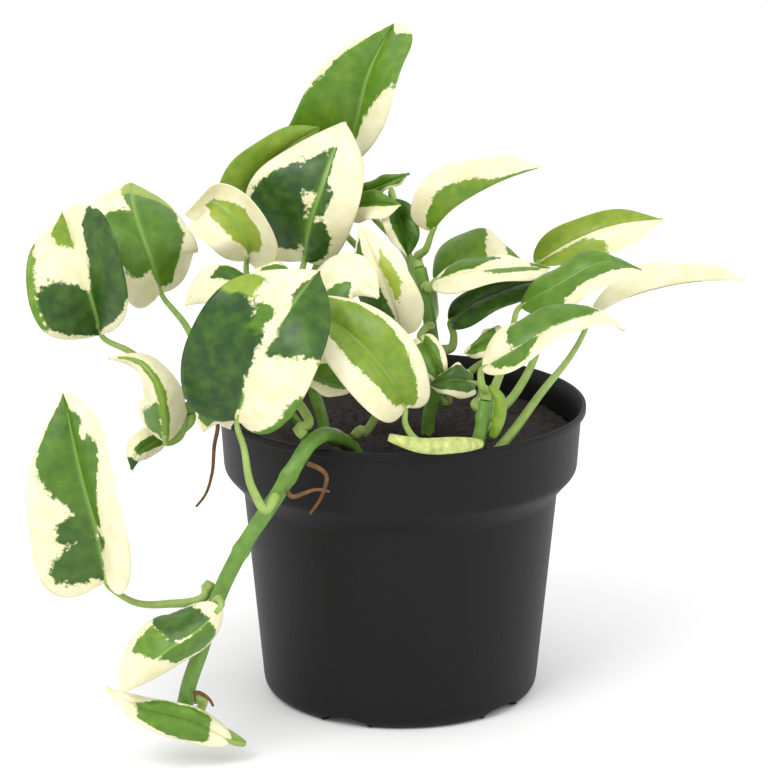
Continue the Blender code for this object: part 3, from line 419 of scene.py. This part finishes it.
def plain(name, colour, rough, bump=0.0, scale=400.0, spread=0.0):
    """A procedural finish with noise in its colour and its surface."""
    mat = bpy.data.materials.new(name)
    mat.use_nodes = True
    tree = mat.node_tree
    shader = tree.nodes["Principled BSDF"]
    shader.inputs["Roughness"].default_value = rough
    noise = tree.nodes.new("ShaderNodeTexNoise")
    noise.inputs["Scale"].default_value = scale
    noise.inputs["Detail"].default_value = GRAIN_DETAIL
    place = tree.nodes.new("ShaderNodeTexCoord")
    wire(tree, place, "Object", noise, "Vector")
    ramp = tree.nodes.new("ShaderNodeValToRGB")
    ramp.color_ramp.elements[0].position = GRAIN_FROM
    ramp.color_ramp.elements[1].position = GRAIN_TO
    ramp.color_ramp.elements[0].color = (*[c * (1 - spread) for c in colour], 1)
    ramp.color_ramp.elements[1].color = (*[min(1, c * (1 + spread)) for c in colour], 1)
    wire(tree, noise, "Fac", ramp, "Fac")
    wire(tree, ramp, "Color", shader, "Base Color")
    if bump:
        relief = tree.nodes.new("ShaderNodeBump")
        relief.inputs["Strength"].default_value = bump
        relief.inputs["Distance"].default_value = GRAIN_DEPTH
        wire(tree, noise, "Fac", relief, "Height")
        wire(tree, relief, "Normal", shader, "Normal")
    return mat


def leaf_material():
    """Green patches with ragged edges on cream, darker or yellower by patch, with a pale midrib."""
    mat = bpy.data.materials.new("variegated_leaf")
    mat.use_nodes = True
    tree = mat.node_tree
    shader = tree.nodes["Principled BSDF"]
    shader.inputs["Roughness"].default_value = LEAF_ROUGH
    shader.inputs["Specular IOR Level"].default_value = LEAF_SHINE

    def attribute(name):
        node = tree.nodes.new("ShaderNodeAttribute")
        node.attribute_name = name
        return node.outputs["Fac"]

    place = tree.nodes.new("ShaderNodeTexCoord").outputs["Object"]

    def noise(scale, detail):
        node = tree.nodes.new("ShaderNodeTexNoise")
        node.inputs["Scale"].default_value = scale
        node.inputs["Detail"].default_value = detail
        tree.links.new(place, node.inputs["Vector"])
        return node.outputs["Fac"]

    def maths(operation, *values):
        node = tree.nodes.new("ShaderNodeMath")
        node.operation = operation
        for k, value in enumerate(values):
            if isinstance(value, (int, float)):
                node.inputs[k].default_value = value
            else:
                tree.links.new(value, node.inputs[k])
        return node.outputs["Value"]

    def step(value, low, high):
        node = tree.nodes.new("ShaderNodeMapRange")
        node.inputs["From Min"].default_value = low
        node.inputs["From Max"].default_value = high
        tree.links.new(value, node.inputs["Value"])
        return node.outputs["Result"]

    def mixed(share, first, second):
        node = tree.nodes.new("ShaderNodeMix")
        node.data_type = "RGBA"
        tree.links.new(share, node.inputs[0])
        for socket, value in ((node.inputs[6], first), (node.inputs[7], second)):
            if isinstance(value, tuple):
                socket.default_value = (*value, 1)
            else:
                tree.links.new(value, socket)
        return node.outputs[2]

    broad = noise(BROAD_CELLS, 3)
    fine = noise(FINE_CELLS, 6)
    depth = maths("ADD", attribute("field"), maths("MULTIPLY_ADD", broad, 0.24, -0.08))
    depth = maths("ADD", depth, maths("MULTIPLY_ADD", fine, 0.16, -0.08))
    green_share = step(depth, -0.012, 0.02)
    tone = maths("ADD", attribute("tone"), maths("MULTIPLY_ADD", noise(TONE_CELLS, 5), 0.5, -0.25))
    greens = tree.nodes.new("ShaderNodeValToRGB")
    greens.color_ramp.elements[0].color = (*DARK_GREEN, 1)
    greens.color_ramp.elements[1].color = (*YELLOW_GREEN, 1)
    middle = greens.color_ramp.elements.new(MIDDLE_GREEN_AT)
    middle.color = (*MIDDLE_GREEN, 1)
    tree.links.new(tone, greens.inputs["Fac"])
    creams = mixed(step(broad, 0.35, 0.7), CREAM, PALE_CREAM)
    near_green = step(depth, -0.35, 0.0)
    speckle = step(maths("MULTIPLY", noise(SPECKLE_CELLS, 3), near_green), 0.53, 0.58)
    creams = mixed(speckle, creams, SPECKLE_GREEN)
    blade = mixed(green_share, creams, greens.outputs["Color"])
    rib = mixed(green_share, RIB_ON_CREAM, RIB_ON_GREEN)
    blade = mixed(attribute("rib"), blade, rib)
    tree.links.new(blade, shader.inputs["Base Color"])
    relief = tree.nodes.new("ShaderNodeBump")
    relief.inputs["Strength"].default_value = LEAF_BUMP
    relief.inputs["Distance"].default_value = LEAF_BUMP_DEPTH
    tree.links.new(broad, relief.inputs["Height"])
    tree.links.new(relief.outputs["Normal"], shader.inputs["Normal"])
    return mat


LEAF = leaf_material()
STALK = plain("green_stalk", (0.26, 0.38, 0.08), 0.45, 0.1, 300, 0.15)
STEM = plain("green_stem", (0.12, 0.25, 0.03), 0.45, 0.2, 250, 0.2)
ROOT = plain("brown_root", (0.14, 0.065, 0.02), 0.9, 0.5, 500, 0.35)
SOIL = plain("potting_mix", (0.012, 0.007, 0.005), 0.95, 1.0, 300, 0.7)
POT = plain("black_plastic", (0.0035, 0.0033, 0.0037), 0.5, 0.12, 900, 0.1)
POT.node_tree.nodes["Principled BSDF"].inputs["Specular IOR Level"].default_value = POT_SHINE
SHEATH = plain("pale_sheath", (0.45, 0.50, 0.16), 0.7, 0.3, 400, 0.3)


# ---------------------------------------------------------------- meshes
ROWS = np.concatenate([np.linspace(0, 0.1, 9)[:-1], np.linspace(0.1, 0.995, 42)])
COLUMNS = np.linspace(-1, 1, 33)
MIDDLE_COLUMN = 16
RIB_WIDTH = 0.045
RIB_GROOVE = 0.35
QUILT_HEIGHT = 0.16
QUILT_COUNT = 8
QUILT_SLANT = 2.4
EDGE_THINNING = 0.6
UNDERSIDE_PALER = 0.15
STALK_STEPS = 40
STALK_SIDES = 12
STALK_TAPER = 0.8
FLUTES = 5
STEM_STEPS = 90
STEM_SIDES = 30
STEM_FLUTE = 0.05
STEM_SLIM, STEM_SWELLING = 0.88, 0.17
NODE_EVERY, NODE_FROM, NODE_LENGTH = 27, 14, 1.6
ROOT_STEPS = 30
ROOT_SIDES = 10
ROOT_R_START, ROOT_R_END = 0.8, 0.4


def show(name, points, faces, mats, tags=None, index=None, smooth_faces=True):
    """A visible piece that stands for one CAD node."""
    mesh = bpy.data.meshes.new("look_" + name)
    mesh.from_pydata([tuple(p * MM) for p in points], [], faces)
    for mat in mats:
        mesh.materials.append(mat)
    if index is not None:
        mesh.polygons.foreach_set("material_index", index)
    if smooth_faces:
        mesh.polygons.foreach_set("use_smooth", [True] * len(mesh.polygons))
    for tag, values in (tags or {}).items():
        mesh.attributes.new(tag, "FLOAT", "POINT").data.foreach_set("value", values)
    mesh.update()
    obj = bpy.data.objects.new("look_" + name, mesh)
    bpy.context.scene.collection.objects.link(obj)
    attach(obj, "root")
    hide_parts(name)
    return obj


def tube(path, radii, sides=14, flute=0.0):
    """Rings of a capped tube along a path, grooved by flute: points and faces."""
    path = np.asarray(path, float)
    way = unit(np.gradient(path, axis=0))
    upward = np.array([0.1, 0.3, 1.0])
    across = unit(np.cross(way[0], upward))
    points = []
    faces = []
    for where, along, radius in zip(path, way, radii):
        across = unit(across - along * (across @ along))
        other = np.cross(along, across)
        for k in range(sides):
            turn = 2 * np.pi * k / sides
            reach = radius * (1 + flute * np.cos(FLUTES * turn))
            points.append(where + reach * (np.cos(turn) * across + np.sin(turn) * other))
    n = len(path)
    for r in range(n - 1):
        for k in range(sides):
            m = (k + 1) % sides
            faces.append((r * sides + k, r * sides + m, (r + 1) * sides + m, (r + 1) * sides + k))
    faces.append(tuple(range(sides - 1, -1, -1)))
    faces.append(tuple(range((n - 1) * sides, n * sides)))
    return np.array(points), faces


def stem_line(name, count=80):
    """A stem's radius, places along it and the way it runs at each."""
    radius, path = STEMS[name]
    places, ways = smooth(path, np.linspace(0, 1, count))
    return radius, places, unit(ways)


def leave_stem(name, joins, toward):
    """Where a stalk or root leaves the stem near joins, and the way out of the stem, on toward's side."""
    radius, places, ways = stem_line(name)
    i = int(np.argmin(np.linalg.norm(places - np.array(joins, float), axis=1)))
    away = np.array(toward, float) - places[i]
    away = unit(away - ways[i] * (away @ ways[i]))
    return places[i] + away * (radius + STALK_GAP), away


def build_leaf(name, spec):
    """A blade with a grooved rib and quilted skin, thin at its margin, and its stalk."""
    middle, normals = blade_grid(spec, ROWS, COLUMNS)
    u, t = np.meshgrid(ROWS, COLUMNS, indexing="ij")
    rib_line = np.exp(-((t / RIB_WIDTH) ** 2))
    wave = np.sin(2 * np.pi * (QUILT_COUNT * u - QUILT_SLANT * np.abs(t)))
    quilt = QUILT_HEIGHT * wave * np.abs(t) * (1 - t**2)
    middle = middle + normals * (quilt - RIB_GROOVE * rib_line)[..., None]
    nr, nc = u.shape
    half = (SKIN / 2 * (1 - EDGE_THINNING * np.abs(t) ** 6))[..., None]
    upper = (middle + normals * half).reshape(-1, 3)
    under = (middle - normals * half).reshape(-1, 3)
    points = np.concatenate([upper, under])
    low = nr * nc
    faces = []
    for r in range(nr - 1):
        for c in range(nc - 1):
            a = r * nc + c
            faces.append((a, a + 1, a + 1 + nc, a + nc))
            faces.append((low + a, low + a + nc, low + a + 1 + nc, low + a + 1))
    edge = list(range(nc))
    edge += [r * nc + nc - 1 for r in range(1, nr)]
    edge += [(nr - 1) * nc + c for c in range(nc - 2, -1, -1)]
    edge += [r * nc for r in range(nr - 2, 0, -1)]
    for a, b in zip(edge, edge[1:] + edge[:1]):
        faces.append((b, a, low + a, low + b))
    field, tone = fields(name, u, t)
    field = np.concatenate([field.ravel(), field.ravel()])
    tone = np.concatenate([tone.ravel(), tone.ravel() + UNDERSIDE_PALER])
    rib = np.concatenate([rib_line.ravel(), rib_line.ravel()])
    toward = spec["stalk"][0]
    start, away = leave_stem(spec["stem"], spec["joins"], toward)
    if spec.get("cap"):
        _, places, ways = stem_line(spec["stem"])
        away = ways[-1]
        start = places[-1] + away * STALK_GAP
    base = np.array(spec["rib"][0], float)
    _, way = smooth(spec["rib"], [0.0])
    bends = [start - away * 0.5, start + away * 2.4] + [np.array(p, float) for p in spec["stalk"]]
    bends += [base - unit(way)[0] * 0.2, base + unit(way)[0] * 2.5 - normals[4, MIDDLE_COLUMN] * 0.4]
    path, _ = smooth(bends, np.linspace(0, 1, STALK_STEPS))
    radii = np.linspace(STALK_R_STEM, STALK_R_BLADE, STALK_STEPS) * np.linspace(1, STALK_TAPER, STALK_STEPS)
    stalk, more = tube(path, radii, STALK_SIDES)
    index = [0] * len(faces) + [1] * len(more)
    faces += [tuple(len(points) + k for k in face) for face in more]
    field = np.concatenate([field, np.zeros(len(stalk))])
    tone = np.concatenate([tone, np.zeros(len(stalk))])
    rib = np.concatenate([rib, np.zeros(len(stalk))])
    points = np.concatenate([points, stalk])
    return show(name, points, faces, [LEAF, STALK], {"field": field, "tone": tone, "rib": rib}, index)


def build_stems():
    """Fluted stems, swollen at their nodes."""
    for name in STEMS:
        radius, places, _ = stem_line(name, STEM_STEPS)
        run = np.r_[0, np.cumsum(np.linalg.norm(np.diff(places, axis=0), axis=1))]
        from_node = (run + NODE_FROM) % NODE_EVERY - NODE_EVERY / 2
        swelling = np.exp(-(from_node / NODE_LENGTH) ** 2)
        radii = radius * (STEM_SLIM + STEM_SWELLING * swelling)
        points, faces = tube(places, radii, STEM_SIDES, STEM_FLUTE)
        show(name, points, faces, [STEM])


def build_roots():
    for name, (stem, run) in ROOTS.items():
        start, _ = leave_stem(stem, run[0], run[0])
        places, _ = smooth([tuple(start)] + run, np.linspace(0, 1, ROOT_STEPS))
        points, faces = tube(places, np.linspace(ROOT_R_START, ROOT_R_END, ROOT_STEPS), ROOT_SIDES)
        show(name, points, faces, [ROOT])


TURN_SIDES = 168
SOIL_SIDES = 160
SOIL_TOP = 86.4
SOIL_EDGE = 55.6
SOIL_RINGS = 60
CRUMB_HEIGHT = 0.7
AXIS_RADIUS = 0.01


def turned_body(profile, segments):
    """Points and faces of a profile of (radius, height) turned about the Z axis."""
    points = []
    faces = []
    for radius, height in profile:
        reach = max(radius, AXIS_RADIUS)
        for k in range(segments):
            turn = 2 * np.pi * k / segments
            points.append((reach * np.cos(turn), reach * np.sin(turn), height))
    n = len(profile)
    for r in range(n - 1):
        for k in range(segments):
            m = (k + 1) % segments
            faces.append((r * segments + k, r * segments + m, (r + 1) * segments + m, (r + 1) * segments + k))
    return np.array(points), faces


def build_soil():
    """The potting mix inside the pot, with a crumbled top."""
    profile = [(0, 4.7), (43.0, 4.7), (49.4, 68.7), (55.5, 76.6), (56.1, 84.8)]
    profile += [(r, SOIL_TOP) for r in np.linspace(SOIL_EDGE, 0, SOIL_RINGS)]
    points, faces = turned_body(profile, SOIL_SIDES)
    for k, (x, y, z) in enumerate(points):
        if z == SOIL_TOP:
            ridges = np.sin(x * 1.7 + 1.3 * np.sin(y * 2.1))
            furrows = np.sin(y * 1.9 + 1.1 * np.sin(x * 1.3))
            points[k, 2] += CRUMB_HEIGHT * (ridges * furrows)
    show("soil", points, faces, [SOIL])


def rounded(corners, steps=6):
    """A profile with each corner (r, z, radius) eased by its own radius."""
    out = []
    count = len(corners)
    for k, (r, z, ease) in enumerate(corners):
        here = np.array([r, z], float)
        if ease == 0 or k in (0, count - 1):
            out.append(tuple(here))
            continue
        before = np.array(corners[k - 1][:2], float) - here
        after = np.array(corners[k + 1][:2], float) - here
        start = here + before * min(0.45, ease / np.linalg.norm(before))
        end = here + after * min(0.45, ease / np.linalg.norm(after))
        for w in np.linspace(0, 1, steps):
            out.append(tuple((1 - w) ** 2 * start + 2 * w * (1 - w) * here + w**2 * end))
    return out


ARCH_STEPS = 16
ARCH_SPRING = 0.35


def arch(out, near, far, half, height, floor):
    """A radial block with an arched top, as a temporary mesh that is added to the pot or cut from it."""
    side = np.array([-out[1], out[0], 0])
    section = [(-half, floor)]
    for k in range(ARCH_STEPS + 1):
        turn = np.pi * (1 - k / ARCH_STEPS)
        rise = ARCH_SPRING + (1 - ARCH_SPRING) * np.sin(turn)
        section.append((half * np.cos(turn), height * rise))
    section.append((half, floor))
    points = [out * radius + side * x + np.array([0, 0, z]) for radius in (near, far) for x, z in section]
    n = len(section)
    faces = [tuple(range(n)), tuple(range(2 * n - 1, n - 1, -1))]
    faces += [(k, k + n, (k + 1) % n + n, (k + 1) % n) for k in range(n)]
    mesh = bpy.data.meshes.new("arch")
    mesh.from_pydata([tuple(p * MM) for p in points], [], faces)
    bm = bmesh.new()
    bm.from_mesh(mesh)
    bmesh.ops.recalc_face_normals(bm, faces=bm.faces)
    bm.to_mesh(mesh)
    bm.free()
    return mesh


def boolean(mesh, other, operation):
    """The Boolean of two meshes, as a new mesh."""
    a = bpy.data.objects.new("a", mesh)
    b = bpy.data.objects.new("b", other)
    for obj in (a, b):
        bpy.context.scene.collection.objects.link(obj)
    mod = a.modifiers.new("combine", "BOOLEAN")
    mod.object = b
    mod.operation = operation
    result = bpy.data.meshes.new_from_object(a.evaluated_get(bpy.context.evaluated_depsgraph_get()))
    for obj in (a, b):
        bpy.data.objects.remove(obj, do_unlink=True)
    return result


# The pot's profile is (radius, height, rounding); a notch is (near, far, half width, height, floor).
POT_CORNERS = [(0, 0, 0), (44.7, 0, 4), (51.1, 68.2, 1.2), (57.3, 75.3, 1.6), (58.5, 94.0, 0.5),
               (60, 94.3, 0.4), (60, 96.7, 0.7), (58.9, 96.7, 0.5), (57.3, 93, 3), (56.1, 76.4, 1.5),
               (49.9, 69, 1.5), (43.4, 1.6, 2.5), (0, 1.6, 0)]
WELD = 0.03
NOTCHES = 5
FIRST_NOTCH = 246
NOTCH_ROOF = (32.8, 43.0, 8.7, 4.2, 0.5)
NOTCH = (34.0, 50.0, 7.5, 3.0, -2.0)
SHARP = 40


def build_pot():
    """The thin pot: foot with drain notches, straight wall, sloping shoulder, collar and lip."""
    points, faces = turned_body(rounded(POT_CORNERS), TURN_SIDES)
    mesh = bpy.data.meshes.new("pot_body")
    mesh.from_pydata([tuple(p * MM) for p in points], [], faces)
    bm = bmesh.new()
    bm.from_mesh(mesh)
    bmesh.ops.remove_doubles(bm, verts=bm.verts, dist=WELD * MM)
    bmesh.ops.holes_fill(bm, edges=bm.edges)
    bmesh.ops.recalc_face_normals(bm, faces=bm.faces)
    bm.to_mesh(mesh)
    bm.free()
    for sizes, operation in ((NOTCH_ROOF, "UNION"), (NOTCH, "DIFFERENCE")):
        for k in range(NOTCHES):
            turn = np.radians(FIRST_NOTCH + 360 / NOTCHES * k)
            out = np.array([np.cos(turn), np.sin(turn), 0])
            mesh = boolean(mesh, arch(out, *sizes), operation)
    mesh.materials.clear()
    mesh.materials.append(POT)
    mesh.polygons.foreach_set("use_smooth", [True] * len(mesh.polygons))
    mesh.set_sharp_from_angle(angle=np.radians(SHARP))
    obj = bpy.data.objects.new("look_pot", mesh)
    bpy.context.scene.collection.objects.link(obj)
    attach(obj, "root")
    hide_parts("pot")


SHEATH_RUN = [(-4, -66, 104), (6, -66.5, 101.5), (17, -62.5, 100.5), (24, -54.5, 98.5)]
ROLLED_RUN = [(28.2, -48, 99), (30, -50, 105), (30, -51, 112), (27, -52, 116)]
SPINDLE_STEPS = 40
SPINDLE_SIDES = 18
SPINDLE_TIP = 0.5


def spindle(run, fullness, first, last):
    """A tube along run that swells by fullness over the share of a half wave from first to last."""
    path, _ = smooth(run, np.linspace(0, 1, SPINDLE_STEPS))
    half_wave = np.sin(np.pi * np.linspace(first, last, SPINDLE_STEPS))
    return tube(path, SPINDLE_TIP + fullness * half_wave**0.7, SPINDLE_SIDES)


def build_sheath():
    points, faces = spindle(SHEATH_RUN, 2.1, 0.06, 0.9)
    show("sheath_front", points, faces, [SHEATH])


def build_rolled_leaf():
    points, faces = spindle(ROLLED_RUN, 1.5, 0.12, 0.95)
    n = len(points)
    tags = {"field": np.full(n, 0.1), "tone": np.full(n, 0.6), "rib": np.zeros(n)}
    show("new_leaf_rolled", points, faces, [LEAF], tags)


build_pot()
build_soil()
build_stems()
build_roots()
for leaf_name, leaf_spec in LEAVES.items():
    build_leaf(leaf_name, leaf_spec)
build_sheath()
build_rolled_leaf()

# ---------------------------------------------------------------- floor, camera, light
# Metres here, and degrees for the tilt.
FLOOR_SIZE = 6
FLOOR_PLACE = (0, 1.5, 0)
ROOM_STRENGTH = 1.03
LIT_POINT = (0, 0, 0.1)
CAMERA_PLACE = (-0.0054, -0.9873, 0.3790)
CAMERA_TILT = 15.713
LENS = 147.5
SENSOR = 36

bpy.ops.mesh.primitive_plane_add(size=FLOOR_SIZE, location=FLOOR_PLACE)
floor = bpy.context.active_object
white = plain("white_sweep", (0.93, 0.93, 0.93), 0.8)
floor.data.materials.append(white)

world = bpy.data.worlds.new("white_room")
bpy.context.scene.world = world
world.use_nodes = True
world.node_tree.nodes["Background"].inputs["Color"].default_value = (1, 1, 1, 1)
world.node_tree.nodes["Background"].inputs["Strength"].default_value = ROOM_STRENGTH


def area_light(name, where, size, power):
    """A square lamp aimed at the plant's middle."""
    lamp = bpy.data.lights.new(name, "AREA")
    lamp.size = size
    lamp.energy = power
    obj = bpy.data.objects.new(name, lamp)
    obj.location = where
    obj.rotation_euler = (Vector(LIT_POINT) - Vector(where)).to_track_quat("-Z", "Y").to_euler()
    bpy.context.scene.collection.objects.link(obj)


area_light("key", (-0.7, -0.9, 1.3), 0.8, 12)
area_light("fill", (1.0, -0.6, 0.8), 1.0, 4)

camera_data = bpy.data.cameras.new("camera")
camera_data.lens = LENS
camera_data.sensor_width = SENSOR
camera = bpy.data.objects.new("camera", camera_data)
camera.location = CAMERA_PLACE
camera.rotation_euler = (np.radians(90 - CAMERA_TILT), 0, 0)
bpy.context.scene.collection.objects.link(camera)
bpy.context.scene.camera = camera
bpy.context.scene.view_settings.view_transform = "Standard"
